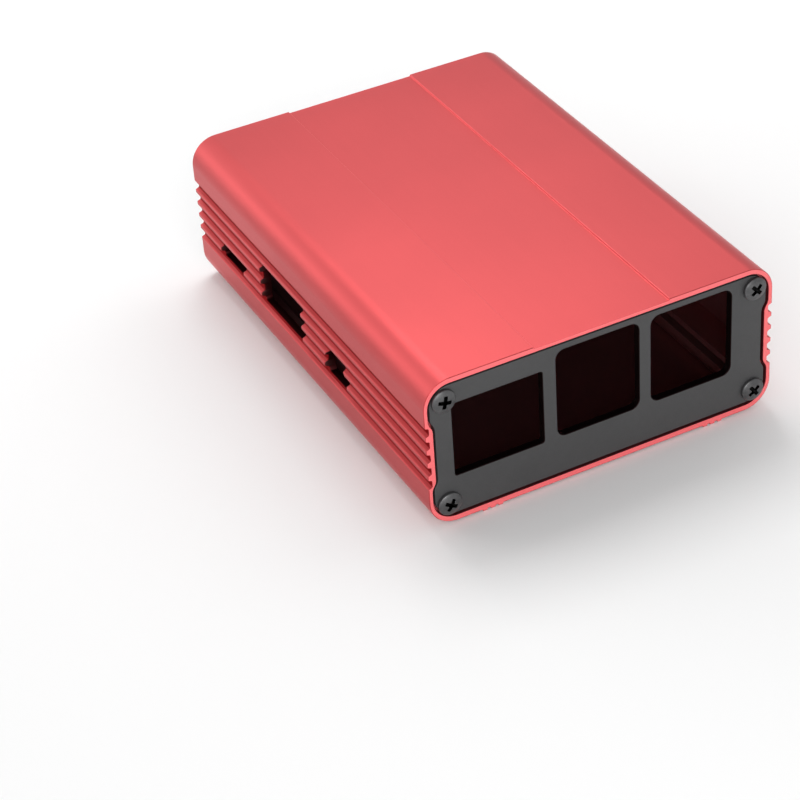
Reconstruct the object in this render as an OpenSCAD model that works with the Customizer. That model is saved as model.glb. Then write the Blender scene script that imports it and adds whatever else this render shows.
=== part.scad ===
// Case for a small single-board computer: a one-piece extruded sleeve with fins on both sides,
// a sheet panel set into a recess at each end, and four screws through each panel.
// Millimetres. Z is up from the foot ribs, Y runs back along the sleeve and X is to the right
// of the front panel. The origin lies under the middle of the case.

/* [Sleeve] */
// Width across the sleeve
sleeve_w = 66; // [65.6:0.1:70]
// Height of the sleeve above its foot ribs
sleeve_h = 28.6; // [28.4:0.1:32]
// Length of the sleeve
sleeve_len = 91; // [90:0.5:110]
// Radius of the four long outer corners
corner_r = 5; // [4.5:0.1:5.5]
// Thickness of the side walls
side_wall = 2.2; // [2:0.05:2.4]
// Thickness of the top and the floor
flat_wall = 2; // [1.6:0.05:2.3]
// Radius of the four long inner corners
inner_r = 1.5; // [0.5:0.1:2.5]
// Chamfer around the outside of both ends
edge_break = 0.25; // [0.1:0.05:0.4]

/* [Side fins] */
// Fins on each side
fin_count = 4; // [2:1:5]
// Distance from fin to fin
fin_pitch = 2.6; // [2.4:0.05:2.8]
// Width of the mouth of the valley beside a fin
valley_mouth = 1.9; // [1.7:0.05:2.1]
// Depth of the valley
valley_depth = 0.75; // [0.65:0.05:0.9]
// Width of the flat bottom of the valley
valley_floor = 0.9; // [0.5:0.05:0.9]
// Radius of both corners of the bottom
valley_r = 0.3; // [0.2:0.05:0.35]

/* [Top strip] */
// Width of the sunk strip along the top, halfway down its sloping sides
strip_w = 25.5; // [10:0.5:40]
// Depth of the strip
strip_depth = 0.35; // [0.2:0.05:0.6]
// Width of the slope at each side of the strip
strip_slope = 0.8; // [0.3:0.05:1.2]

/* [Foot ribs] */
// Ribs in each of the two groups
foot_count = 3; // [1:1:4]
// Distance from rib to rib
foot_pitch = 1.45; // [1.2:0.05:2]
// Width of a rib
foot_w = 0.8; // [0.5:0.05:1]
// Height of a rib
foot_h = 0.3; // [0.2:0.05:0.6]
// Distance between the middles of the two groups
foot_spread = 42.9; // [30:0.1:44]

/* [End panels] */
// Thickness of the sheet
panel_t = 1.5; // [1:0.1:2]
// How far the panel lies behind the end of the sleeve
panel_inset = 0.2; // [0:0.05:0.5]
// Gap between the edge of the panel and the rim around it
panel_gap = 0.45; // [0.1:0.05:0.5]
// Rim left at each side of the recess
rim_side = 0.7; // [0.6:0.05:0.9]
// Rim left above and below the recess
rim_flat = 1; // [0.7:0.05:1.2]
// How far the recess and the panel step in beside the fins
waist_step = 0.55; // [0.5:0.05:0.7]
// Radius of both bends of the step
waist_r = 1.2; // [0.8:0.05:1.2]
// Angle of the slope between both bends of the step
waist_lean = 35; // [30:1:36]
// How much the straight part of the step is shorter than the row of fins
waist_trim = 0.4; // [0:0.1:1]

/* [Screws] */
// Distance of the screws from the side of the sleeve
screw_side = 3.6; // [3.4:0.1:4]
// Distance of the screws from the top and from the underside
screw_flat = 4; // [3.8:0.1:4.4]
// Diameter of the shank
screw_d = 2.5; // [2:0.1:2.6]
// Length of the shank
screw_len = 6; // [4:0.5:12]
// Diameter of the head
head_d = 4.3; // [4:0.1:4.8]
// Height of the head
head_h = 1; // [0.9:0.05:1.6]
// Height of the straight side of the head
head_side_h = 0.55; // [0.3:0.05:0.7]
// Width of an arm of the cross recess
cross_w = 0.7; // [0.4:0.05:0.75]
// Length across the cross recess
cross_len = 2.4; // [2:0.1:3]
// Depth of the cross recess
cross_depth = 0.75; // [0.5:0.05:0.85]
// Turn of the cross recess in each screw, from the upper left one on clockwise
cross_turns = [-12, 44, 38, 60]; // [-90:1:90]
// Clearance around the shank in the panel, on the diameter
hole_clearance = 0.3; // [0.1:0.05:0.5]
// Clearance around the shank in the sleeve, on the diameter
bore_clearance = 0.1; // [0.02:0.02:0.2]
// Wall of the screw channel
boss_wall = 1; // [0.8:0.05:1.2]
// Width of the slit along the screw channel
boss_slit = 1.2; // [0.8:0.1:1.6]

/* [Board rails] */
// Width of the board
board_w = 56; // [54:0.1:57]
// Length of the board
board_len = 85; // [80:0.5:86]
// Thickness of the board
board_t = 1.6; // [1:0.1:2]
// Height of the upper face of the board above the underside of the sleeve
board_top = 9.3; // [8.6:0.1:9.6]
// Gap between the left wall and the board
board_side_gap = 0.95; // [0.4:0.05:1.2]
// Gap between the front panel and the board
board_end_gap = 0.4; // [0.2:0.1:1]
// How far a rail reaches past the edge of the board
rail_grip = 0.8; // [0.5:0.1:1]
// Thickness of a rail
rail_t = 1.2; // [1:0.1:1.6]
// Clearance over the board in the slot between two rails
rail_clearance = 0.2; // [0.1:0.05:0.4]

/* [Front windows] */
// How far the sills lie below the upper face of the board
sill_drop = 0.35; // [0:0.05:0.8]
// Centre of the network window from the left edge of the board
network_x = 10.25; // [9.8:0.05:10.5]
// Width of the network window
network_w = 16.6; // [15.5:0.05:17]
// Height of the network window
network_h = 14.2; // [12:0.1:14.3]
// Corner radius of the network window
network_r = 0.4; // [0.2:0.1:1]
// Centre of the first port window from the left edge of the board
port_a_x = 29; // [28.5:0.05:29.5]
// Centre of the second port window from the left edge of the board
port_b_x = 47; // [46.5:0.05:47.5]
// Width of a port window
port_w = 15.65; // [14:0.05:16.2]
// Height of a port window
port_h = 17.05; // [14:0.05:17.2]
// Corner radius of a port window
port_r = 1.6; // [0.4:0.1:2]

/* [Side openings] */
// Centre of the power opening from the rear edge of the board
power_y = 10.6; // [10:0.1:12]
// Width of the power opening
power_w = 10; // [8:0.1:12]
// Height of the power opening
power_h = 3.35; // [2.8:0.05:5]
// Corner radius of the power opening
power_r = 0.6; // [0.2:0.1:1]
// Centre of the video opening from the rear edge of the board
video_y = 32; // [31:0.1:33]
// Width of the video opening
video_w = 17; // [15:0.1:19]
// Height of the video opening
video_h = 7.75; // [6:0.05:9]
// Corner radius of the video opening
video_r = 0.8; // [0.2:0.1:1.5]
// Centre of the audio opening from the rear edge of the board
audio_y = 53.5; // [52.5:0.1:54.5]
// Diameter of the arch of the audio opening
audio_d = 8.5; // [7:0.1:9]
// Height of the centre of the arch above the sill
audio_rise = 1.75; // [1:0.05:3]

/* [Card slot] */
// Centre of the card slot from the left edge of the board
card_x = 28; // [26:0.1:30]
// Width of the card slot
card_w = 14; // [12:0.1:18]
// Height of the card slot
card_h = 3.2; // [2:0.1:3.6]
// How far the middle of the slot lies below the board
card_drop = 1; // [0.5:0.1:1.4]
// Corner radius of the card slot
card_r = 0.8; // [0.2:0.1:1]

/* [Hidden] */
$fn = 64;
over = 1;
enter = 0.995;
floor_z = foot_h;
mid_z = foot_h + sleeve_h / 2;
half_w = sleeve_w / 2;
half_h = sleeve_h / 2;
half_len = sleeve_len / 2;
pocket_depth = panel_t + panel_inset;
pocket_r = corner_r - (rim_side + rim_flat) / 2;
waist_in = (fin_count * fin_pitch - waist_trim) / 2;
waist_bends = 2 * waist_r * (1 - cos(waist_lean));
waist_run = 2 * waist_r * sin(waist_lean) + (waist_step - waist_bends) / tan(waist_lean);
valley_count = fin_count + 1;
valley_axis = valley_depth - valley_r;
screw_x = half_w - screw_side;
screw_z = half_h - screw_flat;
boss_r = screw_d / 2 + bore_clearance / 2 + boss_wall;
head_r = head_d / 2;
dome_rise = head_h - head_side_h;
dome_r = (head_r * head_r + dome_rise * dome_rise) / (2 * dome_rise);
board_left = -half_w + side_wall + board_side_gap;
board_right = board_left + board_w;
board_top_z = floor_z + board_top;
board_low_z = board_top_z - board_t;
board_rear = -half_len + pocket_depth + board_end_gap + board_len;
sill_z = board_top_z - sill_drop;

// Helpers: a section drawn in X and Z carried along Y, and one drawn in Y and Z carried along X
module along_y(len) {
    rotate([90, 0, 0])
        linear_extrude(height = len, center = true)
            children();
}

module along_x(len) {
    rotate([90, 0, 90])
        linear_extrude(height = len, center = true)
            children();
}

// A rectangle with round corners about its own centre
module round_rect(w, h, r) {
    square([w - 2 * r, h], center = true);
    square([w, h - 2 * r], center = true);
    for (x = [-1, 1])
        for (y = [-1, 1])
            translate([x * (w / 2 - r), y * (h / 2 - r)])
                circle(r);
}

// A window that stands on its sill
module window(w, h, r) {
    translate([0, h / 2])
        round_rect(w, h, r);
}

// Places its children at the four screws, each with the turn of its own recess
module at_screws() {
    corners = [[-1, 1], [1, 1], [1, -1], [-1, -1]];
    for (i = [0 : 3])
        translate([corners[i][0] * screw_x, 0, mid_z + corners[i][1] * screw_z])
            rotate([0, -cross_turns[i], 0])
                children();
}

// Valley between two fins: flanks from the mouth that run into the round corners of a flat bottom.
// The flanks and the bottom enter the corner circles by a hair, so that each line crosses its circle.
module valley() {
    lip = valley_mouth / 2;
    half_floor = valley_floor / 2;
    spread = lip - half_floor;
    near = enter * valley_r;
    reach = sqrt(valley_axis * valley_axis + spread * spread);
    lean = atan2(spread, valley_axis) + acos(near / reach);
    touch_x = near * cos(lean) - valley_axis;
    touch_y = half_floor + near * sin(lean);
    bottom = -valley_axis - near;
    for (side = [-1, 1])
        translate([-valley_axis, side * half_floor])
            circle(valley_r, $fn = 32);
    polygon([
        [over, lip],
        [0, lip],
        [touch_x, touch_y],
        [bottom, half_floor],
        [bottom, -half_floor],
        [touch_x, -touch_y],
        [0, -lip],
        [over, -lip]
    ]);
}

// Sunk strip along the top, with sloping sides
module strip_cut() {
    outer = (strip_w + strip_slope) / 2;
    inner = (strip_w - strip_slope) / 2;
    translate([0, floor_z + sleeve_h])
        polygon([
            [-outer, over],
            [-outer, 0],
            [-inner, -strip_depth],
            [inner, -strip_depth],
            [outer, 0],
            [outer, over]
        ]);
}

// Outside of the section: rounded box, foot ribs, sunk strip and the valleys of both sides
module outer_section() {
    difference() {
        translate([0, mid_z])
            round_rect(sleeve_w, sleeve_h, corner_r);
        strip_cut();
        for (side = [0, 1])
            mirror([side, 0])
                for (i = [0 : valley_count - 1])
                    translate([half_w, mid_z + (i - (valley_count - 1) / 2) * fin_pitch])
                        valley();
    }
    for (side = [-1, 1])
        for (i = [0 : foot_count - 1])
            translate([side * foot_spread / 2 + (i - (foot_count - 1) / 2) * foot_pitch - foot_w / 2, 0])
                square([foot_w, foot_h + flat_wall / 2]);
}

// Screw channels in the four corners, each one slit towards the inside
module screw_channels() {
    for (x = [-1, 1])
        for (z = [-1, 1])
            translate([x * screw_x, mid_z + z * screw_z])
                children();
}

// Rails that hold the board: a ledge on the left, a slot between two rails on the right
module rails() {
    weld = side_wall / 3;
    translate([-half_w + side_wall - weld, board_low_z - rail_t])
        square([weld + board_side_gap + rail_grip, rail_t]);
    right_len = half_w - side_wall + weld - board_right + rail_grip;
    for (z = [board_low_z - rail_t, board_top_z + rail_clearance])
        translate([board_right - rail_grip, z])
            square([right_len, rail_t]);
}

// The extruded section of the sleeve
module sleeve_section() {
    difference() {
        union() {
            difference() {
                outer_section();
                translate([0, mid_z])
                    round_rect(sleeve_w - 2 * side_wall, sleeve_h - 2 * flat_wall, inner_r);
            }
            screw_channels()
                circle(boss_r);
            rails();
        }
        screw_channels()
            circle(d = screw_d + bore_clearance);
        for (x = [-1, 1])
            for (z = [-1, 1])
                translate([x * screw_x, mid_z + z * screw_z])
                    rotate(atan2(-z, -x))
                        translate([0, -boss_slit / 2])
                            square([boss_r + boss_wall / 8, boss_slit]);
    }
}

// Step at the upper right of the waist: a bend, a slope and a bend; inset shrinks the outline for the panel
module waist_bend(inset) {
    a = half_w - rim_side;
    upper = [a - waist_r, waist_in + waist_run];
    lower = [a - waist_step + waist_r, waist_in];
    way = enter * [cos(waist_lean), -sin(waist_lean)];
    difference() {
        polygon([
            upper,
            [a + over, upper[1]],
            [a + over, lower[1]],
            lower,
            lower - (waist_r + inset) * way,
            upper + (waist_r - inset) * way
        ]);
        translate(upper)
            circle(waist_r - inset);
    }
    translate(lower)
        circle(waist_r + inset);
}

// Outline of the end recess, or of the panel in it when inset is the gap between them
module recess_outline(inset) {
    a = half_w - rim_side - inset;
    difference() {
        round_rect(2 * a, sleeve_h - 2 * (rim_flat + inset), pocket_r - inset);
        for (side = [0, 1])
            mirror([side, 0]) {
                translate([a - waist_step, -waist_in])
                    square([waist_step + 2 * over, 2 * waist_in]);
                for (end = [0, 1])
                    mirror([0, end])
                        waist_bend(inset);
            }
    }
}

// Cutter for the chamfer around one end, seen from the end that lies at Z = 0
module edge_cutter() {
    tri = [[-edge_break - over, -over], [over, -over], [over, edge_break + over]];
    for (i = [0 : 3]) {
        reach = i % 2 == 0 ? half_w : half_h;
        run = i % 2 == 0 ? sleeve_h : sleeve_w;
        rotate(90 * i)
            translate([reach, 0, 0])
                rotate([90, 0, 0])
                    linear_extrude(height = run - 2 * corner_r, center = true)
                        polygon(tri);
    }
    for (i = [0 : 3]) {
        cx = (i == 0 || i == 3 ? 1 : -1) * (half_w - corner_r);
        cy = (i < 2 ? 1 : -1) * (half_h - corner_r);
        translate([cx, cy, 0])
            rotate(90 * i)
                rotate_extrude(angle = 90)
                    translate([corner_r, 0])
                        polygon(tri);
    }
}

// Sub-parts
module sleeve() {
    color([0.76, 0.24, 0.25])
        difference() {
            along_y(sleeve_len)
                sleeve_section();
            for (end = [-1, 1])
                translate([0, end * (half_len - pocket_depth / 2 + over / 2), mid_z])
                    along_y(pocket_depth + over)
                        recess_outline(0);
            translate([0, -half_len, mid_z])
                rotate([-90, 0, 0])
                    edge_cutter();
            translate([0, half_len, mid_z])
                rotate([90, 0, 0])
                    edge_cutter();
            translate([-half_w + side_wall / 2, 0, sill_z])
                along_x(2 * side_wall)
                    side_openings();
        }
}

module side_openings() {
    translate([board_rear - power_y, 0])
        window(power_w, power_h, power_r);
    translate([board_rear - video_y, 0])
        window(video_w, video_h, video_r);
    translate([board_rear - audio_y, 0])
        intersection() {
            translate([0, audio_rise])
                circle(d = audio_d);
            translate([-audio_d, 0])
                square([2 * audio_d, audio_d]);
        }
}

// Blank panel in the middle of the sheet's own thickness, with its four screw holes
module panel_blank() {
    difference() {
        translate([0, 0, mid_z])
            along_y(panel_t)
                recess_outline(panel_gap);
        at_screws()
            rotate([90, 0, 0])
                cylinder(d = screw_d + hole_clearance, h = 2 * panel_t, center = true);
    }
}

module front_panel() {
    color([0.2, 0.2, 0.21])
        translate([0, -half_len + panel_inset + panel_t / 2, 0])
            difference() {
                panel_blank();
                translate([0, 0, sill_z])
                    along_y(2 * panel_t) {
                        translate([board_left + network_x, 0])
                            window(network_w, network_h, network_r);
                        translate([board_left + port_a_x, 0])
                            window(port_w, port_h, port_r);
                        translate([board_left + port_b_x, 0])
                            window(port_w, port_h, port_r);
                    }
            }
}

module rear_panel() {
    color([0.2, 0.2, 0.21])
        translate([0, half_len - panel_inset - panel_t / 2, 0])
            difference() {
                panel_blank();
                translate([board_left + card_x, 0, board_low_z - card_drop])
                    along_y(2 * panel_t)
                        round_rect(card_w, card_h, card_r);
            }
}

// Screw with its seat at Z = 0: pan head above, shank below, cross recess in the head
module screw() {
    translate([0, 0, -screw_len])
        cylinder(d = screw_d, h = screw_len + head_side_h / 2);
    difference() {
        rotate_extrude()
            intersection() {
                translate([0, head_h - dome_r])
                    circle(dome_r, $fn = 128);
                square([head_r, head_h]);
            }
        intersection() {
            for (turn = [0, 90])
                rotate(turn)
                    translate([0, 0, head_h])
                        cube([cross_len, cross_w, 2 * cross_depth], center = true);
            translate([0, 0, head_h - cross_depth])
                cylinder(r1 = cross_w, r2 = cross_len / 2, h = cross_depth);
        }
    }
}

module front_screws() {
    color([0.26, 0.26, 0.27])
        translate([0, -half_len + panel_inset, 0])
            at_screws()
                rotate([90, 0, 0])
                    screw();
}

module rear_screws() {
    color([0.26, 0.26, 0.27])
        translate([0, half_len - panel_inset, 0])
            at_screws()
                rotate([-90, 0, 0])
                    screw();
}

sleeve();
front_panel();
rear_panel();
front_screws();
rear_screws();
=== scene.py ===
import math

import bpy
import numpy as np
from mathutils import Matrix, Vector
from mathutils.geometry import tessellate_polygon


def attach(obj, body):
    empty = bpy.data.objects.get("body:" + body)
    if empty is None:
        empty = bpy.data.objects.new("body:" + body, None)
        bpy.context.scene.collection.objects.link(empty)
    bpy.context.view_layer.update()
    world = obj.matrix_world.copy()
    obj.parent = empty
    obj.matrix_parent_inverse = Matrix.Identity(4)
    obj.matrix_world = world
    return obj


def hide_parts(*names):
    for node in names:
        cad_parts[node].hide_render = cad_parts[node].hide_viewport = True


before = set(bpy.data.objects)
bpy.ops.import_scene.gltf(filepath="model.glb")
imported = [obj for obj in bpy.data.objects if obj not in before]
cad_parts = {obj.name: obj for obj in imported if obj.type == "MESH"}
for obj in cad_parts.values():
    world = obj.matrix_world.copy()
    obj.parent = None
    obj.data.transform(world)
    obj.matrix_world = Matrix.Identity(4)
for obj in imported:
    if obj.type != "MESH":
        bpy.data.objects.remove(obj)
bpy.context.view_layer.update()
scene = bpy.context.scene
scene.view_settings.view_transform = "Standard"
cornerSigns = ((-1, -1), (1, -1), (1, 1), (-1, 1))  # counter-clockwise from the lower left
print("frame loaded:", sorted(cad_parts))

# camera
cameraSettings = {
    "place": (-0.165716, -0.32284, 0.250499),
    "turn": (53.88386, 3.60169, -27.54672),  # degrees
    "lens": 109.2209,
    "sensor": 36.0,
    "clip": (0.01, 20.0),
}


def makeCamera(s):
    data = bpy.data.cameras.new("camera")
    data.sensor_fit = "HORIZONTAL"
    data.sensor_width = s["sensor"]
    data.lens = s["lens"]
    data.clip_start, data.clip_end = s["clip"]
    obj = bpy.data.objects.new("camera", data)
    obj.location = s["place"]
    obj.rotation_euler = [math.radians(a) for a in s["turn"]]
    scene.collection.objects.link(obj)
    scene.camera = obj


makeCamera(cameraSettings)
print("camera placed")

# studio: pale floor, surroundings that are bright at the horizon and darker overhead, soft boxes
studio = {
    "floorHalf": 3.0,
    "floorColor": (0.9, 0.9, 0.9),
    "floorRough": 0.9,
    "floorShine": 0.1,
    "worldLight": (0.85, 0.25),  # at the horizon and overhead
    "worldFade": (0.2, 0.8),  # how far up a direction points where the change starts and ends
    "aim": (0.0, -0.01, 0.02),  # the spot that every box faces
    "lamps": (
        {"name": "overBox", "place": (0.03, 0.18, 0.36), "size": 0.2, "power": 0.58},
        {"name": "rearBox", "place": (-0.25, 0.4, 0.35), "size": 0.5, "power": 0.8},
        {"name": "rightBox", "place": (0.25, 0.35, 0.45), "size": 0.3, "power": 0.32},
        {"name": "backBox", "place": (-0.5, 0.6, 0.2), "size": 0.4, "power": 0.48},
        {"name": "highBox", "place": (0.6, 0.1, 0.6), "size": 0.5, "power": 1.0},
        {"name": "frontBox", "place": (-0.15, -0.46, 0.14), "size": 0.35, "power": 1.65},
    ),
}


def link(tree, fromSocket, toSocket):
    tree.links.new(fromSocket, toSocket)


def ranged(tree, source, fromRange, toRange):
    # source brought from one range to another and held at its ends
    node = tree.nodes.new("ShaderNodeMapRange")
    for name, value in zip(("From Min", "From Max", "To Min", "To Max"), fromRange + toRange):
        node.inputs[name].default_value = value
    link(tree, source, node.inputs["Value"])
    return node.outputs["Result"]


def areaLamp(s, aim):
    # square soft box, turned to face the aim
    data = bpy.data.lights.new(s["name"], "AREA")
    data.shape = "SQUARE"
    data.size = s["size"]
    data.energy = s["power"]
    obj = bpy.data.objects.new(s["name"], data)
    obj.location = s["place"]
    away = np.array(s["place"]) - np.array(aim)
    tilt = math.atan2(math.hypot(away[0], away[1]), away[2])
    heading = math.atan2(away[1], away[0]) + math.pi / 2
    obj.rotation_euler = (tilt, 0.0, heading)
    scene.collection.objects.link(obj)


def makeWorld(s):
    # white light whose strength changes with height
    world = bpy.data.worlds.new("studio")
    scene.world = world
    world.use_nodes = True
    tree = world.node_tree
    tree.nodes.clear()
    back = tree.nodes.new("ShaderNodeBackground")
    back.inputs["Color"].default_value = (1.0, 1.0, 1.0, 1.0)
    coords = tree.nodes.new("ShaderNodeTexCoord")
    parted = tree.nodes.new("ShaderNodeSeparateXYZ")
    link(tree, coords.outputs["Generated"], parted.inputs["Vector"])
    light = ranged(tree, parted.outputs["Z"], s["worldFade"], s["worldLight"])
    link(tree, light, back.inputs["Strength"])
    out = tree.nodes.new("ShaderNodeOutputWorld")
    link(tree, back.outputs["Background"], out.inputs["Surface"])


def makeFloor(s):
    half = s["floorHalf"]
    mesh = bpy.data.meshes.new("floor")
    mesh.from_pydata([(x * half, y * half, 0.0) for x, y in cornerSigns], [], [(0, 1, 2, 3)])
    floor = bpy.data.objects.new("floor", mesh)
    scene.collection.objects.link(floor)
    mat = bpy.data.materials.new("palePaper")
    mat.use_nodes = True
    bsdf = mat.node_tree.nodes["Principled BSDF"]
    bsdf.inputs["Roughness"].default_value = s["floorRough"]
    bsdf.inputs["Specular IOR Level"].default_value = s["floorShine"]
    bsdf.inputs["Base Color"].default_value = (*s["floorColor"], 1.0)
    mesh.materials.append(mat)


makeWorld(studio)
makeFloor(studio)
for lamp in studio["lamps"]:
    areaLamp(lamp, studio["aim"])
print("studio lit")

# finishes: all three share the grain group, and marks on faces and points, such as milled, change them
grainSettings = {
    "detail": {"Grain": 2.0, "Mottle": 3.0, "Streak": 2.0},
    "drawn": (1.0, 0.012, 1.0),  # the streaks are drawn out along y
    "toneSpan": (0.35, 0.65),  # part of the noise that goes from the deep to the light tone
    "roughSpan": (0.3, 0.7),
}
finishes = {
    "anodisedRed": {
        "deep": (0.465, 0.023, 0.027), "light": (0.495, 0.027, 0.031),
        # the edge tone is a painted highlight on the upright sides of the sunk strip, and the valley tone is
        # painted shade in the fins' valleys
        "edge": (0.66, 0.08, 0.085), "grooveShade": (0.2, 0.005, 0.006), "milled": (0.8, 0.12, 0.13),
        # the last, near-black tone is painted shade on the recess walls below the rim and inside the openings
        "inside": (0.38, 0.15, 0.155), "sunk": (0.06, 0.006, 0.007),
        "slant": (1.0, 0.45, 0.47),  # tint at a slant, where the dye still tells
        "metallic": (1.0, 0.15),  # plain, and where it is milled
        "coat": (1.0, 0.15),  # plain, and in the valleys, where less coat is part of the painted shade
        "rough": (0.39, 0.45), "milledRough": 0.1, "coatRough": 0.42,
        "grain": 3600.0, "mottle": 45.0, "streak": 1100.0, "streaks": 0.25,
        "bump": 0.06, "depth": 1.5e-5,
    },
    "panelBlack": {
        # the cut tone is painted shade: with full metallic it makes the window walls nearly black
        "deep": (0.033, 0.033, 0.034), "light": (0.04, 0.04, 0.041), "cut": (0.016, 0.009, 0.009),
        "metallic": (0.0, 1.0),  # plain, and where it is cut, so that the window walls reflect almost nothing as painted shade
        "rough": (0.46, 0.56),
        "grain": 4200.0, "mottle": 60.0, "streak": 900.0, "streaks": 0.5,
        "bump": 0.1, "depth": 2e-5,
    },
    "screwBlack": {
        # the cut tone is painted shade: with full metallic it makes the cross recess nearly black
        "deep": (0.07, 0.07, 0.072), "light": (0.105, 0.105, 0.107), "cut": (0.004, 0.004, 0.004),
        "metallic": (0.7, 1.0),
        "rough": (0.3, 0.4),
        "grain": 3000.0, "mottle": 400.0, "streak": 1500.0, "streaks": 1.0,
        "bump": 0.06, "depth": 1.5e-5,
    },
}


def makeGrain(s):
    # three noises: fine grain, broad mottle, and streaks drawn out along the length
    group = bpy.data.node_groups.new("surfaceGrain", "ShaderNodeTree")
    for name in s["detail"]:
        group.interface.new_socket(name + " Scale", in_out="INPUT", socket_type="NodeSocketFloat")
    for name in s["detail"]:
        group.interface.new_socket(name, in_out="OUTPUT", socket_type="NodeSocketFloat")
    given = group.nodes.new("NodeGroupInput")
    out = group.nodes.new("NodeGroupOutput")
    coords = group.nodes.new("ShaderNodeTexCoord")
    drawn = group.nodes.new("ShaderNodeMapping")
    drawn.inputs["Scale"].default_value = s["drawn"]
    link(group, coords.outputs["Object"], drawn.inputs["Vector"])
    for name, detail in s["detail"].items():
        noise = group.nodes.new("ShaderNodeTexNoise")
        noise.inputs["Detail"].default_value = detail
        source = drawn.outputs["Vector"] if name == "Streak" else coords.outputs["Object"]
        link(group, source, noise.inputs["Vector"])
        link(group, given.outputs[name + " Scale"], noise.inputs["Scale"])
        link(group, noise.outputs["Fac"], out.inputs[name])
    return group


def blended(tree, factor, a, b):
    # from a to b by the factor, each a fixed colour or a socket
    node = tree.nodes.new("ShaderNodeMix")
    node.data_type = "RGBA"
    link(tree, factor, node.inputs["Factor"])
    for name, value in (("A", a), ("B", b)):
        if isinstance(value, tuple):
            node.inputs[name].default_value = (*value, 1.0)
        else:
            link(tree, value, node.inputs[name])
    return node.outputs["Result"]


def scaledSum(tree, source, factor, plus):
    # source * factor + plus
    node = tree.nodes.new("ShaderNodeMath")
    node.operation = "MULTIPLY_ADD"
    link(tree, source, node.inputs[0])
    node.inputs[1].default_value = factor
    link(tree, plus, node.inputs[2])
    return node.outputs[0]


def markOf(tree, name):
    # a mark of the mesh, 0 where it has none
    node = tree.nodes.new("ShaderNodeAttribute")
    node.attribute_name = name
    return node.outputs["Fac"]


def startFinish(name, s, grain):
    # mottled and streaked colour, grained roughness and bump, common to the three finishes
    mat = bpy.data.materials.new(name)
    mat.use_nodes = True
    tree = mat.node_tree
    bsdf = tree.nodes["Principled BSDF"]
    node = tree.nodes.new("ShaderNodeGroup")
    node.node_tree = grain
    for key in ("grain", "mottle", "streak"):
        node.inputs[key.title() + " Scale"].default_value = s[key]
    noise = scaledSum(tree, node.outputs["Streak"], s["streaks"], node.outputs["Mottle"])
    span = tuple(edge * (1.0 + s["streaks"]) for edge in grainSettings["toneSpan"])
    tone = blended(tree, ranged(tree, noise, span, (0.0, 1.0)), s["deep"], s["light"])
    rough = ranged(tree, node.outputs["Grain"], grainSettings["roughSpan"], s["rough"])
    bump = tree.nodes.new("ShaderNodeBump")
    bump.inputs["Strength"].default_value = s["bump"]
    bump.inputs["Distance"].default_value = s["depth"]
    link(tree, node.outputs["Grain"], bump.inputs["Height"])
    link(tree, bump.outputs["Normal"], bsdf.inputs["Normal"])
    return mat, tree, bsdf, tone, rough


def makeRed(s, grain):
    # each mark brings its own tone over the ones before it; the edge tone is a painted highlight, and the
    # valley and near-black tones are painted shade
    mat, tree, bsdf, tone, rough = startFinish("anodisedRed", s, grain)
    mark = {name: markOf(tree, name) for name in ("edge", "grooveShade", "milled", "inside", "sunk")}
    for name, factor in mark.items():
        tone = blended(tree, factor, tone, s[name])
    link(tree, tone, bsdf.inputs["Base Color"])
    link(tree, ranged(tree, mark["milled"], (0.0, 1.0), s["metallic"]), bsdf.inputs["Metallic"])
    link(tree, scaledSum(tree, mark["milled"], s["milledRough"], rough), bsdf.inputs["Roughness"])
    # less coat in the valleys, as part of the painted shade there
    link(tree, ranged(tree, mark["grooveShade"], (0.0, 1.0), s["coat"]), bsdf.inputs["Coat Weight"])
    bsdf.inputs["Coat Roughness"].default_value = s["coatRough"]
    bsdf.inputs["Specular Tint"].default_value = (*s["slant"], 1.0)
    return mat


def makeBlack(name, s, grain):
    mat, tree, bsdf, tone, rough = startFinish(name, s, grain)
    # where the cut mark is set, the colour is painted shade: nearly black and fully metallic, reflecting
    # almost nothing
    cut = markOf(tree, "cut")
    link(tree, blended(tree, cut, tone, s["cut"]), bsdf.inputs["Base Color"])
    link(tree, ranged(tree, cut, (0.0, 1.0), s["metallic"]), bsdf.inputs["Metallic"])
    link(tree, rough, bsdf.inputs["Roughness"])
    return mat


grainGroup = makeGrain(grainSettings)
mats = {name: makeBlack(name, finishes[name], grainGroup) for name in ("panelBlack", "screwBlack")}
mats["anodisedRed"] = makeRed(finishes["anodisedRed"], grainGroup)
print("finishes set")

# outlines and skins are worked out in millimetres, and weldSkin turns them into metres
metre = 1000.0
hair = 1e-6  # a distance too small to matter
weld = {
    "cells": 2e4,  # points in the same cell, so many to the millimetre, become one
    "shift": 0.37,  # keeps round sizes off the borders of the cells
    "sharp": 35.0,  # degrees, where Blender sets the shading
}


def filletLoop(corners, steps):
    # closed outline from corners (x, z, radius), counter-clockwise: each corner becomes the arc of its radius
    # that touches both edges, as centre + radius * normal, with the normal turned in equal steps
    at, radius = corners[:, :2], corners[:, 2]
    way = np.roll(at, -1, axis=0) - at
    way /= np.linalg.norm(way, axis=1)[:, None]
    come = np.roll(way, 1, axis=0)
    turn = np.arctan2(come[:, 0] * way[:, 1] - come[:, 1] * way[:, 0], (come * way).sum(axis=1))
    bulge = np.sign(turn) * radius
    right = np.stack([come[:, 1], -come[:, 0]], axis=1)
    centre = at - come * (radius * np.tan(abs(turn) / 2))[:, None] - right * bulge[:, None]
    angle = turn[:, None] * np.linspace(0.0, 1.0, steps + 1)
    c, s = np.cos(angle), np.sin(angle)
    normal = np.stack([c * right[:, :1] - s * right[:, 1:], s * right[:, :1] + c * right[:, 1:]], axis=-1)
    points = centre[:, None] + normal * bulge[:, None, None]
    return points.reshape(-1, 2), normal.reshape(-1, 2)


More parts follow.
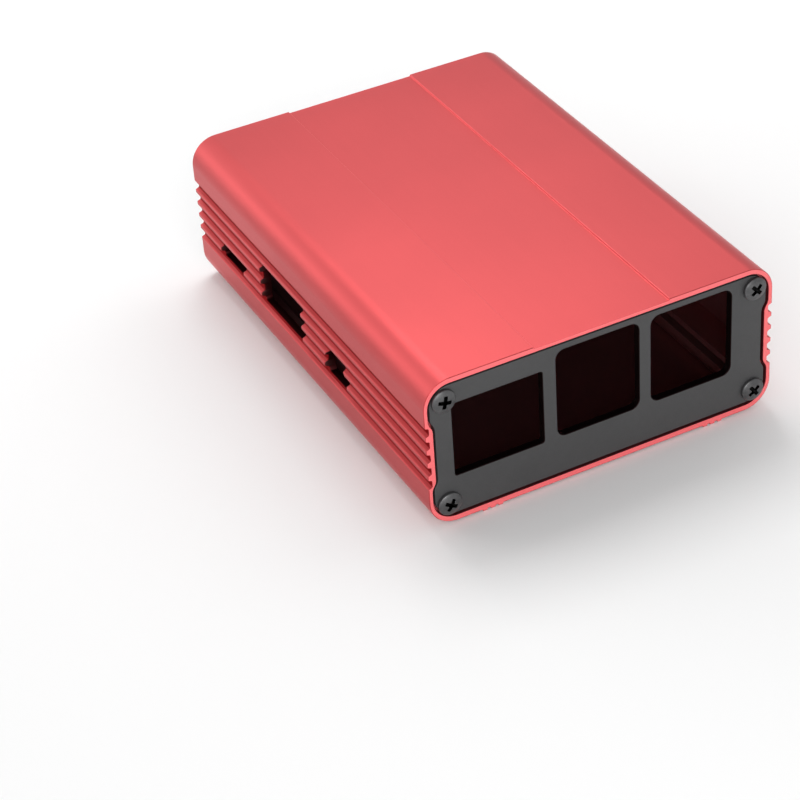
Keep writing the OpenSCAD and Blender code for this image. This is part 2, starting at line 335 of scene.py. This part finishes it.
def boxLoop(x, z, w, h, r, grow, steps=8):
    # rectangle with round corners about (x, z), grown on all sides
    a, b = w / 2 + grow, h / 2 + grow
    signs = np.array(cornerSigns, float)
    corners = np.column_stack([x + signs[:, 0] * a, z + signs[:, 1] * b, np.full(4, r + grow)])
    return filletLoop(corners, steps)


def lift(flat, y):
    # points or directions (x, z) brought to y
    return np.column_stack([flat[:, 0], np.broadcast_to(y, len(flat)), flat[:, 1]])


def facing(points, normals, faces, auto=False):
    # a patch whose faces look against its normals is turned over; auto leaves the shading to Blender
    p = points[faces]
    across = np.cross(p[:, 2] - p[:, 0], p[:, -1] - p[:, 1])
    if np.einsum("ij,ij->", across, normals[faces].sum(axis=1)) < 0:
        faces = faces[:, ::-1]
    if faces.shape[1] == 3:
        faces = np.column_stack([faces, faces[:, 2]])
    return {"points": points, "normals": normals * (0.0 if auto else 1.0), "faces": faces, "marks": {}}


def marked(part, **values):
    # notes for the finish, one number for the whole patch or one for each face
    part["marks"] = values
    return part


def gridPatch(points, normals, keep=None, auto=False):
    # quads between neighbours of a grid of points, rows by columns; the last row joins the first
    rows, cols = points.shape[:2]
    row, col = np.arange(rows), np.arange(cols - 1)
    low = row[:, None] * cols + col
    high = np.roll(row, -1)[:, None] * cols + col
    quads = np.stack([low, low + 1, high + 1, high], axis=-1)
    quads = quads.reshape(-1, 4) if keep is None else quads[keep]
    return facing(points.reshape(-1, 3), normals.reshape(-1, 3), quads, auto)


def flatPatch(loops, y, look):
    # flat cap across y between an outer outline and the outlines of its holes
    flat = np.concatenate(loops)
    faces = tessellate_polygon([[Vector((p[0], p[1], 0.0)) for p in loop] for loop in loops])
    normals = np.tile((0.0, look, 0.0), (len(flat), 1))
    return facing(lift(flat, y), normals, np.array(faces))


def carryPatch(loopAt, rings, inward=1.0):
    # profile carried round an outline: each ring (grow, y, lean, look) is the outline grown and brought to y,
    # and its normal leans from the outline's own normal to the y direction look
    points, normals = [], []
    for grow, y, lean, look in rings:
        at, out = loopAt(grow)
        points.append(lift(at, y))
        normals.append(lift(inward * math.cos(lean) * out, look * math.sin(lean)))
    return gridPatch(np.stack(points, axis=1), np.stack(normals, axis=1))


def roundEdge(e, y, look, count):
    # rings for carryPatch, a quarter circle of radius e from the face at y, grown by e, to the wall
    turn = np.radians(np.linspace(0, 90, count))
    return [(e - e * math.sin(a), y - look * e * (1 - math.cos(a)), math.pi / 2 - a, look) for a in turn]


def weldSkin(name, parts):
    # patches joined where their points meet; quads that lost a corner become triangles, and each corner keeps
    # the normal of its own patch
    points = np.concatenate([p["points"] for p in parts])
    normals = np.concatenate([p["normals"] for p in parts])
    starts = np.cumsum([0] + [len(p["points"]) for p in parts[:-1]])
    faces = np.concatenate([p["faces"] + start for p, start in zip(parts, starts)])
    keys = np.floor(points * weld["cells"] + weld["shift"])
    first, place = np.unique(keys, axis=0, return_index=True, return_inverse=True)[1:]
    spot = place.reshape(-1)[faces]
    stay = spot != np.roll(spot, -1, axis=1)
    whole = (stay.sum(axis=1) > 2) & (spot[:, 0] != spot[:, 2]) & (spot[:, 1] != spot[:, 3])
    spot, stay, cornerNormals = spot[whole], stay[whole], normals[faces[whole]]
    used, corner = np.unique(spot[stay], return_inverse=True)
    count = stay.sum(axis=1)
    mesh = bpy.data.meshes.new(name)
    mesh.vertices.add(len(used))
    mesh.vertices.foreach_set("co", (points[first[used]] / metre).astype(np.float32).ravel())
    mesh.loops.add(len(corner))
    mesh.loops.foreach_set("vertex_index", corner.reshape(-1).astype(np.int32))
    mesh.polygons.add(len(count))
    mesh.polygons.foreach_set("loop_start", (np.cumsum(count) - count).astype(np.int32))
    for mark in sorted({key for p in parts for key in p["marks"]}):
        value = np.concatenate([np.broadcast_to(p["marks"].get(mark, 0.0), len(p["faces"])) for p in parts])
        layer = mesh.attributes.new(mark, "FLOAT", "FACE")
        layer.data.foreach_set("value", value[whole].astype(np.float32))
    mesh.update(calc_edges=True)
    mesh.validate()
    mesh.shade_smooth()
    mesh.set_sharp_from_angle(angle=math.radians(weld["sharp"]))
    mesh.normals_split_custom_set(cornerNormals[stay].tolist())
    obj = bpy.data.objects.new(name, mesh)
    scene.collection.objects.link(obj)
    return obj


def dress(obj, node, mat):
    obj.data.materials.append(mat)
    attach(obj, "root")
    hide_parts(node)
    print("made", obj.name, "with", len(obj.data.polygons), "faces")


# sleeve: one extruded section with fins, a sunk strip and foot ribs; recesses in the ends, openings in a wall
sleeve = {
    "halfWidth": 33.0, "base": 0.3, "top": 28.9, "cornerR": 5.0, "halfLength": 45.5,
    "endRound": 0.12, "rimRound": 0.1, "recessDepth": 1.7,
    "recessHalf": 32.3, "recessLow": 1.3, "recessHigh": 27.9, "recessR": 4.15,
    "waistStep": 0.75, "waistIn": 4.75,  # the recess is narrower over this half height, beside the fins
    "waistR": 2.0, "waistLean": 30.0,
    "stripHalf": 12.75, "stripDepth": 0.35, "stripSlope": 0.12, "stripR": 0.08,
    "ribs": (20.0, 21.45, 22.9), "ribHalf": 0.4, "ribR": 0.08,  # on both sides
    "valleys": (9.4, 12.0, 14.6, 17.2, 19.8),  # heights of their middles
    "mouth": 0.95, "valleyFoot": 0.654,  # half widths
    "valleyDepth": 0.75, "valleyR": 0.3, "tipR": 0.18,
    "finReach": 6.3,  # half height of the wall whose valleys get painted shade
    "grooveShadeFade": (0.48, 0.74),  # depth where the painted shade starts and where it is full
    "grooveShadeEnd": 0.01,  # it stops so far before the ends
    "wallX": 30.8, "ceilingZ": 26.9,
    "screwX": 29.4, "screwZ": 10.3, "bossR": 2.3, "boreR": 1.3,
    "slitHalf": 0.6, "slitAngle": 225,  # of the upper right channel
    "ledge": (29.05, 6.8, 8.0),  # inner edge, lower and upper face
    "rails": ((25.35, 6.8, 8.0), (25.35, 9.8, 11.0)),
    "sill": 9.25, "openingRound": 0.12,
    "openings": (  # from front to rear; the first is an arch about a centre at rise, flat at its crown
        {"y": -11.9, "radius": 4.25, "rise": 1.75, "crown": 0.3},
        {"y": 9.6, "width": 17.0, "height": 7.75, "radius": 0.8},
        {"y": 31.0, "width": 10.0, "height": 3.35, "radius": 0.6},
    ),
    "tunnelPaintedShade": (0.0, 0.0, 0.5, 1.0, 1.0, 1.0, 1.0),  # painted shade, ring by ring from the outside in
}
# how finely the sleeve is divided
sleeveSteps = {
    "section": 12, "recess": 10, "end": 7, "rim": 4, "channel": (10, 40, 12),
    "arch": 26, "corner": 8, "mouth": (0, 30, 60, 90),
    "digits": (4, 7), "apart": 0.002, "clear": 0.004,  # of the rows in the left wall
}
midZ = (sleeve["base"] + sleeve["top"]) / 2


def outerLoop(s):
    # outline of the section, counter-clockwise from the lower left corner, and the number of the point where
    # the left wall starts; a valley is a trapezoid with round corners
    w, low, high, steps = s["halfWidth"], s["base"], s["top"], sleeveSteps["section"]
    corners = [(-w, low, s["cornerR"])]
    for x in [-r for r in s["ribs"][::-1]] + list(s["ribs"]):
        left, right = x - s["ribHalf"], x + s["ribHalf"]
        corners += [(a, z, s["ribR"]) for a, z in ((left, low), (left, 0.0), (right, 0.0), (right, low))]
    corners.append((w, low, s["cornerR"]))
    valley = [(0.0, -s["mouth"], s["tipR"]), (s["valleyDepth"], -s["valleyFoot"], s["valleyR"]),
              (s["valleyDepth"], s["valleyFoot"], s["valleyR"]), (0.0, s["mouth"], s["tipR"])]
    corners += [(w - depth, z + up, r) for z in s["valleys"] for depth, up, r in valley]
    corners.append((w, high, s["cornerR"]))
    for side, half, down in ((1, 0.5, 0), (1, -0.5, 1), (-1, -0.5, 1), (-1, 0.5, 0)):
        x = side * (s["stripHalf"] + half * s["stripSlope"])
        corners.append((x, high - down * s["stripDepth"], s["stripR"]))
    corners.append((-w, high, s["cornerR"]))
    wallStart = len(corners) * (steps + 1) - 1
    corners += [(depth - w, z - up, r) for z in s["valleys"][::-1] for depth, up, r in valley]
    points, normals = filletLoop(np.array(corners), steps)
    return points, normals, wallStart


def recessAt(grow):
    # outline of the end recess, grown; beside the fins it steps in by a bend, a slope and a bend
    s = sleeve
    half, r, bend, step = s["recessHalf"] + grow, s["recessR"] + grow, s["waistR"], s["waistStep"]
    lean = math.radians(s["waistLean"])
    k = math.tan(lean / 2)
    run = 2 * bend * math.sin(lean) + (step - 2 * bend * (1 - math.cos(lean))) / math.tan(lean)
    outer, inner = bend + grow, bend - grow
    up = s["waistIn"] + run - outer * k
    low = s["waistIn"] + inner * k
    side = ((half, -up, outer), (half - step, -low, inner), (half - step, low, inner), (half, up, outer))
    side = np.array([(x, midZ + z, b) for x, z, b in side])
    foot = np.array([(-half, s["recessLow"] - grow, r), (half, s["recessLow"] - grow, r)])
    head = np.array([(half, s["recessHigh"] + grow, r), (-half, s["recessHigh"] + grow, r)])
    corners = np.concatenate([foot, side, head, side[::-1] * (-1, 1, 1)])
    return filletLoop(corners, sleeveSteps["recess"])


def openingTop(o, grow):
    # the arch ends where its half width is down to the crown
    if "rise" in o:
        return sleeve["sill"] + o["rise"] + math.sqrt((o["radius"] + grow) ** 2 - o["crown"] ** 2)
    return sleeve["sill"] + o["height"] + grow


def openingHalf(o, z, grow):
    # half width of an opening at height z: an arch, or a rectangle with round corners; held beyond its ends
    z = np.clip(z, sleeve["sill"] - grow, openingTop(o, grow))
    r = o["radius"] + grow
    if "rise" in o:
        return np.sqrt(r ** 2 - (z - sleeve["sill"] - o["rise"]) ** 2)
    bend = r - np.minimum(np.minimum(z - sleeve["sill"] + grow, openingTop(o, grow) - z), r)
    return o["width"] / 2 + grow - r + np.sqrt(r ** 2 - bend ** 2)


def openingRows(o, grow):
    # heights at which the opening's outline turns, in equal angles
    r = o["radius"] + grow
    top, sill = openingTop(o, grow), sleeve["sill"] - grow
    if "rise" in o:
        middle = sleeve["sill"] + o["rise"]
        ends = math.asin((sill - middle) / r), math.asin((top - middle) / r)
        return middle + r * np.sin(np.linspace(*ends, sleeveSteps["arch"]))
    bend = r * (1 - np.cos(np.linspace(0.0, math.pi / 2, sleeveSteps["corner"])))
    return np.concatenate([sill + bend, top - bend])


def columnsAt(z, end):
    # places along y at height z: the ends and the two edges of each opening
    grow = sleeve["openingRound"]
    sides = [o["y"] + sign * openingHalf(o, z, grow) for o in sleeve["openings"] for sign in (-1, 1)]
    return np.stack([np.full(len(z), -end)] + sides + [np.full(len(z), end)], axis=1)


def drawnOut(loop, end):
    # section drawn along y: a grid of points, one column for each of the places above
    y = columnsAt(loop[:, 1], end)
    x, z = (np.repeat(loop[:, k:k + 1], y.shape[1], axis=1) for k in (0, 1))
    return np.stack([x, y, z], axis=-1)


def outsideOpenings(loop):
    # cells of such a grid that stay: those of the left wall within an opening do not
    after = np.roll(loop, -1, axis=0)
    z = (loop[:, 1] + after[:, 1]) / 2
    wall = np.maximum(loop[:, 0], after[:, 0]) < hair - sleeve["wallX"]
    keep = np.ones((len(loop), 2 * len(sleeve["openings"]) + 1), bool)
    grow = sleeve["openingRound"]
    for k, o in enumerate(sleeve["openings"]):
        keep[:, 1 + 2 * k] = ~(wall & (z > sleeve["sill"] - grow) & (z < openingTop(o, grow)))
    return keep


def between(rows, low, high):
    # rows from low to high, both ends with them
    return rows[(rows > low - hair) & (rows < high + hair)]


def fittedSection(s):
    # outer section with the rows that the openings need added to its left wall; points and normals of the
    # rows are read off the wall's own outline, and own points too near to a new row are dropped
    loop, normals, start = outerLoop(s)
    wall = np.vstack([loop[start:], loop[:1]])[::-1]
    wallNormals = np.vstack([normals[start:], normals[:1]])[::-1]
    grow, (few, many) = s["openingRound"], sleeveSteps["digits"]
    turns = np.round(np.concatenate([openingRows(o, grow) for o in s["openings"]]), few)
    ends = [s["sill"] - grow] + [openingTop(o, grow) for o in s["openings"]]
    extra = np.unique(np.round(np.concatenate([turns, ends]), many))
    extra = extra[np.concatenate([[True], np.diff(extra) > sleeveSteps["apart"]])]
    apart = np.abs(wall[:, 1][:, None] - extra).min(axis=1) > sleeveSteps["clear"]
    rows = np.sort(np.concatenate([wall[apart, 1], extra]))
    newWall = np.column_stack([np.interp(rows, wall[:, 1], wall[:, 0]), rows])
    newNormals = np.column_stack([np.interp(rows, wall[:, 1], wallNormals[:, k]) for k in (0, 1)])
    newNormals /= np.linalg.norm(newNormals, axis=1)[:, None]
    loop = np.vstack([loop[:start], newWall[::-1][:-1]])
    normals = np.vstack([normals[:start], newNormals[::-1][:-1]])
    return loop, normals, wall, rows


def endClamp(loop, normals, cut):
    # section cut back to a rounded box that is smaller by cut: sides by clipping, corners by their radius,
    # and the foot ribs by clipping at their own lower face
    s = sleeve
    a, b, r = s["halfWidth"], (s["top"] - s["base"]) / 2, s["cornerR"]
    q = np.abs(loop - (0.0, midZ))
    over = q - (a - r, b - r)
    inCorner = (over > 0).all(axis=1)
    reach = np.where(inCorner, np.hypot(over[:, 0], over[:, 1]), 1.0)
    shrink = np.where(inCorner, np.minimum(1.0, (r - cut) / reach), 1.0)
    rounded = (a - r, b - r) + over * shrink[:, None]
    reachZ = np.where(loop[:, 1] < s["base"] - hair, midZ, b)
    clipped = np.minimum(q, np.column_stack([np.full(len(q), a), reachZ]) - cut)
    new = np.where(inCorner[:, None], rounded, clipped)
    moved = np.abs(new - q).max(axis=1) > hair
    sideways = (q - clipped) / np.maximum(np.abs(q - clipped).sum(axis=1), hair)[:, None]
    out = np.where(inCorner[:, None], over / reach[:, None], sideways)
    sign = np.where(loop - (0.0, midZ) < 0, -1.0, 1.0)
    return new * sign + (0.0, midZ), np.where(moved[:, None], out * sign, normals), moved


def cavityLoop(s, rows):
    # inside of the section: screw channels with their bores and slits, board rails, plain walls; the channel
    # is worked out at the upper right, about the section's middle, and mirrored to the other corners
    def arc(r, start, end, count):
        turn = np.radians(np.linspace(start, end, count))
        return np.column_stack([s["screwX"] + r * np.cos(turn), s["screwZ"] + r * np.sin(turn)])

    boss, bore, slit, x = s["bossR"], s["boreR"], s["slitAngle"], s["wallX"]
    startCount, boreCount, endCount = sleeveSteps["channel"]
    wallAngle = 360 - math.degrees(math.acos((x - s["screwX"]) / boss))
    flatAngle = 90 + math.degrees(math.acos((s["ceilingZ"] - midZ - s["screwZ"]) / boss))
    bossGap, boreGap = (math.degrees(math.asin(s["slitHalf"] / r)) for r in (boss, bore))
    channel = np.concatenate([arc(boss, wallAngle, slit + bossGap, startCount),
                              arc(bore, slit - 360 + boreGap, slit - boreGap, boreCount),
                              arc(boss, slit - bossGap, flatAngle, endCount)])
    back, up = channel[::-1], np.array((0.0, midZ))
    right = [p for edge, low, high in s["rails"] for p in ((x, low), (edge, low), (edge, high), (x, high))]
    edge, low, high = s["ledge"]
    left = [(-x, high), (-edge, high), (-edge, low), (-x, low)]
    wall = np.column_stack([np.full(len(rows), -x), rows])
    return np.concatenate([channel * (-1, -1) + up, back * (1, -1) + up, right, channel + up,
                           back * (-1, 1) + up, wall, left])


def outerSkin(s, loop, normals):
    # section drawn out between the rounded ends; the upright sides of the strip are marked as edges, which
    # are painted lighter as a highlight
    points = drawnOut(loop, s["halfLength"] - s["endRound"])
    cols = points.shape[1]
    keep = outsideOpenings(loop)
    middle = (loop + np.roll(loop, -1, axis=0)) / 2
    riser = (np.abs(np.abs(middle[:, 0]) - s["stripHalf"]) < s["stripSlope"]) & (middle[:, 1] > midZ)
    skin = gridPatch(points, np.repeat(lift(normals, 0.0)[:, None], cols, axis=1), keep=keep)
    return marked(skin, edge=np.repeat(riser[:, None], cols - 1, axis=1)[keep])


def innerSkin(s, cavity):
    # inside of the section drawn out between the floors of the recesses; its normals stand across the outline
    points = drawnOut(cavity, s["halfLength"] - s["recessDepth"])
    way = np.roll(cavity, -1, axis=0) - np.roll(cavity, 1, axis=0)
    inward = lift(np.column_stack([-way[:, 1], way[:, 0]]), 0.0)
    inward = np.repeat(inward[:, None], points.shape[1], axis=1)
    return marked(gridPatch(points, inward, keep=outsideOpenings(cavity), auto=True), inside=1.0)


def endSkins(s, loop, normals, cavity, look):
    # one end: rounded edge, wall of the recess, rim and floor; at t below the end face the rounded edge is
    # cut back by e - sqrt(e^2 - (e - t)^2)
    e, r, length = s["endRound"], s["rimRound"], s["halfLength"]
    rings, leans = [], []
    for t in e * (1 - np.cos(np.radians(np.linspace(0, 90, sleeveSteps["end"])))):
        cut = e - math.sqrt(max(e * e - (e - t) ** 2, 0.0))
        at, out, moved = endClamp(loop, normals, cut)
        lean = np.where(moved, math.acos(min(1.0, max(0.0, 1 - cut / e))), 0.0)
        rings.append(lift(at, look * (length - t)))
        leans.append(lift(out * np.cos(lean)[:, None], look * np.sin(lean)))
    rounded = gridPatch(np.stack(rings, axis=1), np.stack(leans, axis=1))
    floorY = look * (length - s["recessDepth"])
    profile = roundEdge(r, look * length, look, sleeveSteps["rim"]) + [(0.0, floorY, 0.0, look)]
    recess = carryPatch(recessAt, profile, inward=-1.0)
    strips = len(profile) - 1
    deep = np.tile(np.arange(strips) == strips - 1, len(recess["faces"]) // strips)  # the wall below the rim, which is painted nearly black as shade
    rim = flatPatch([rings[0][:, ::2], recessAt(r)[0]], look * length, look)
    floor = flatPatch([recessAt(0.0)[0], cavity], floorY, look)
    recess = marked(recess, milled=1.0, sunk=deep)
    return [rounded, recess, marked(rim, milled=1.0), marked(floor, milled=1.0)]


def tunnelSkin(s, o, wall, rows):
    # outline of an opening carried through the wall; at both mouths it widens by a quarter circle
    grow = s["openingRound"]
    top, sill = openingTop(o, grow), s["sill"] - grow
    z = between(rows, sill, top)
    half = openingHalf(o, z, grow)
    trueZ = s["sill"] + (z - sill) * (openingTop(o, 0.0) - s["sill"]) / (top - sill)
    trueHalf = openingHalf(o, trueZ, 0.0)
    mouth = sleeveSteps["mouth"]
    rings = []
    for turn, inside in [(a, False) for a in mouth] + [(a, True) for a in mouth[::-1]]:
        share, depth = math.sin(math.radians(turn)), grow * (1 - math.cos(math.radians(turn)))
        ringHalf = half + (trueHalf - half) * share
        ringZ = z + (trueZ - z) * share
        skinX = np.interp(ringZ, wall[:, 1], wall[:, 0])
        x = np.full(len(z), -s["wallX"] - depth) if inside else skinX + depth
        side = np.column_stack([x, o["y"] + ringHalf, ringZ])
        otherSide = side * (1, -1, 1) + (0, 2 * o["y"], 0)
        rings.append(np.vstack([side, otherSide[::-1]]))
    points = np.stack(rings, axis=1)
    toAxis = (0.0, o["y"], (top + sill) / 2) - points
    toAxis[..., 0] = 0.0
    # painted shade: the rings inside the wall are painted nearly black
    paintedTunnelShade = np.tile(s["tunnelPaintedShade"], len(points))
    return marked(gridPatch(points, toAxis, auto=True), sunk=paintedTunnelShade)


def noteGrooveShade(obj, s):
    # painted shade in the valleys of the fins, by depth, noted on the points: 0 at the tips, 1 towards the
    # floor
    at = np.empty(len(obj.data.vertices) * 3, np.float32)
    obj.data.vertices.foreach_get("co", at)
    x, y, z = at.reshape(-1, 3).T * metre
    depth = np.interp(s["halfWidth"] - np.abs(x), s["grooveShadeFade"], (0.0, 1.0))
    beside = (np.abs(z - midZ) < s["finReach"]) & (np.abs(y) < s["halfLength"] - s["grooveShadeEnd"])
    layer = obj.data.attributes.new("grooveShade", "FLOAT", "POINT")
    layer.data.foreach_set("value", (depth * beside).astype(np.float32))


def makeSleeve(s):
    # outside, inside, both ends and the tunnels of the openings, welded into one closed skin
    loop, normals, wall, rows = fittedSection(s)
    grow = s["openingRound"]
    highest = max(openingTop(o, grow) for o in s["openings"])
    cavity = cavityLoop(s, between(rows, s["sill"] - grow, highest)[::-1])
    parts = [outerSkin(s, loop, normals), innerSkin(s, cavity)]
    for look in (-1.0, 1.0):
        parts += endSkins(s, loop, normals, cavity, look)
    parts += [tunnelSkin(s, o, wall, rows) for o in s["openings"]]
    obj = weldSkin("sleeveSkin", parts)
    noteGrooveShade(obj, s)
    return obj


dress(makeSleeve(sleeve), "sleeve", mats["anodisedRed"])

# end panels: a sheet in each recess, with round edges on its outline and windows
panels = {
    "gap": 0.45, "thick": 1.5, "inset": 0.2, "edge": 0.15, "edgeSteps": 5, "holeR": 1.4, "holeStep": 10,
    "front": (  # windows: middle x and z, width, height, corner radius
        (-19.6, 16.35, 16.6, 14.2, 0.4),
        (-0.85, 17.775, 15.65, 17.05, 1.6),
        (17.15, 17.775, 15.65, 17.05, 1.6),
    ),
    "rear": ((-1.85, 7.0, 14.0, 3.2, 0.8),),
}


def screwPlace(sx, sz):
    # x and z of a screw's axis
    return sx * sleeve["screwX"], midZ + sz * sleeve["screwZ"]


def makePanel(name, s, windows, look):
    # one rounded profile carried round the outline and, turned inwards, round each window; plain screw holes
    yOut = look * (sleeve["halfLength"] - s["inset"])
    yIn = yOut - look * s["thick"]
    e = s["edge"]
    rings = roundEdge(e, yOut, look, s["edgeSteps"]) + roundEdge(e, yIn, -look, s["edgeSteps"])[::-1]
    parts = [carryPatch(recessAt, [(-s["gap"] - grow, y, lean, to) for grow, y, lean, to in rings])]
    loops = [recessAt(-s["gap"] - e)[0]]
    for window in windows:
        # the window walls get the cut mark, which paints them nearly black as shade
        parts.append(marked(carryPatch(lambda grow: boxLoop(*window, grow), rings, inward=-1.0), cut=1.0))
        loops.append(boxLoop(*window, e)[0])
    angle = np.radians(np.arange(0, 360, s["holeStep"]))
    ring = np.column_stack([np.cos(angle), np.sin(angle)])
    through = [(0.0, yOut, 0.0, look), (0.0, yIn, 0.0, look)]
    for sx, sz in cornerSigns:
        hole = np.array(screwPlace(sx, sz)) + ring * s["holeR"]
        parts.append(carryPatch(lambda grow: (hole, ring), through, inward=-1.0))
        loops.append(hole)
    parts += [flatPatch(loops, yOut, look), flatPatch(loops, yIn, -look)]
    return weldSkin(name, parts)


frontPanel = makePanel("frontPanelSkin", panels, panels["front"], -1.0)
dress(frontPanel, "front_panel", mats["panelBlack"])
rearPanel = makePanel("rearPanelSkin", panels, panels["rear"], 1.0)
dress(rearPanel, "rear_panel", mats["panelBlack"])

# screws: low domed head with a cross recess, plain shank with a chamfered end
screws = {
    "shankR": 1.25, "length": 6.0, "chamfer": (0.25, 0.3),  # off the radius and off the length
    "headR": 2.15, "headH": 1.0, "sideH": 0.55, "footEdge": 0.06, "edge": 0.25, "edgeSteps": 7,
    "crossHalf": 0.35, "crossReach": 1.2, "crossDepth": 0.75, "crossFoot": 0.6, "crossDip": 0.05,
    "armSteps": (6, 7, 7),  # over an arm's tip, along its side to the inner corner, and on to the next tip
    "domeRings": (1.7, 1.45),
    "lipOut": 0.05, "lip": ((0.012, 0.015), (0.0, 0.06)),  # out from the cross's wall and down from the dome
    "hollow": 3,  # the last strips, inside the cross, which are marked as cut and painted nearly black as shade
    "turns": (-12, 44, 38, 60),  # upper left, upper right, lower right, lower left, seen from the front
}


def screwRings(s):
    # radius and height over the angle, ring by ring: shank, side and dome of the head, and the cross, where
    # the radius is the smaller one of the arm's reach and of the distance to the arm's side
    tip = math.degrees(math.atan2(s["crossHalf"], s["crossReach"]))
    stops = zip((-tip, tip, 45), (tip, 45, 90 - tip), s["armSteps"])
    quarter = np.concatenate([np.linspace(a, b, count, endpoint=False) for a, b, count in stops])
    angle = np.radians((quarter + np.arange(4)[:, None] * 90).ravel())
    fold = np.abs((angle + math.pi / 4) % (math.pi / 2) - math.pi / 4)
    cross = np.minimum(s["crossReach"], s["crossHalf"] / np.maximum(np.sin(fold), hair))
    rise = s["headH"] - s["sideH"]
    domeR = (s["headR"] ** 2 + rise ** 2) / (2 * rise)

    def dome(r):
        return s["headH"] - domeR + np.sqrt(domeR ** 2 - r ** 2)

    foot, (offR, offL) = s["footEdge"], s["chamfer"]
    rings = [(0.0, -s["length"]), (s["shankR"] - offR, -s["length"]), (s["shankR"], offL - s["length"]),
             (s["shankR"], 0.0), (s["headR"] - foot, 0.0), (s["headR"], foot)]
    # round edge between the side and the dome: its centre lies e within both
    e = s["edge"]
    centreR = s["headR"] - e
    centreZ = s["headH"] - domeR + math.sqrt((domeR - e) ** 2 - centreR ** 2)
    last = math.atan2(centreZ - s["headH"] + domeR, centreR)
    turns = np.linspace(0, last, s["edgeSteps"])
    rings += [(centreR + e * math.cos(a), centreZ + e * math.sin(a)) for a in turns]
    rings += [(r, dome(r)) for r in s["domeRings"]]
    # from the last round ring to the lip of the cross, and down into it
    start = s["domeRings"][-1]
    way = cross + s["lipOut"] - start
    rings += [(start + way * t, dome(start + way * t)) for t in (0.5, 1.0)]
    rings += [(cross + out, dome(cross) - down) for out, down in s["lip"]]
    bottom = s["headH"] - s["crossDepth"]
    rings += [(np.minimum(cross, s["crossFoot"]), bottom), (0.0, bottom - s["crossDip"])]
    r, z = (np.stack([np.broadcast_to(v, angle.shape) for v in k], axis=1) for k in zip(*rings))
    return np.stack([r * np.cos(angle)[:, None], r * np.sin(angle)[:, None], z], axis=-1)


def screwTurned(v, angle, look):
    # points or directions of a screw along z, turned about its axis and laid along y
    c, s = math.cos(angle), math.sin(angle)
    x = v[..., 0] * c + look * v[..., 1] * s
    z = v[..., 0] * s - look * v[..., 1] * c
    return np.stack([x, look * v[..., 2], z], axis=-1)


def makeScrews(name, s, look):
    # four equal screws, each with its own turn; the normals are the cross product of the ways round and along
    local = screwRings(s)
    out = np.cross(np.roll(local, -1, axis=0) - np.roll(local, 1, axis=0), np.gradient(local, axis=1))
    strips = local.shape[1] - 1
    # the strips inside the cross get the cut mark, which paints them nearly black as shade
    hollow = np.tile(np.arange(strips) >= strips - s["hollow"], len(local))
    seat = look * (sleeve["halfLength"] - panels["inset"])
    parts = []
    for turn, (sx, sz) in zip(s["turns"], cornerSigns[::-1]):
        x, z = screwPlace(sx, sz)
        points, normals = (screwTurned(v, math.radians(turn), look) for v in (local, out))
        parts.append(marked(gridPatch(points + (x, seat, z), normals, auto=True), cut=hollow))
    return weldSkin(name, parts)


frontScrews = makeScrews("frontScrewsSkin", screws, -1.0)
dress(frontScrews, "front_screws", mats["screwBlack"])
rearScrews = makeScrews("rearScrewsSkin", screws, 1.0)
dress(rearScrews, "rear_screws", mats["screwBlack"])
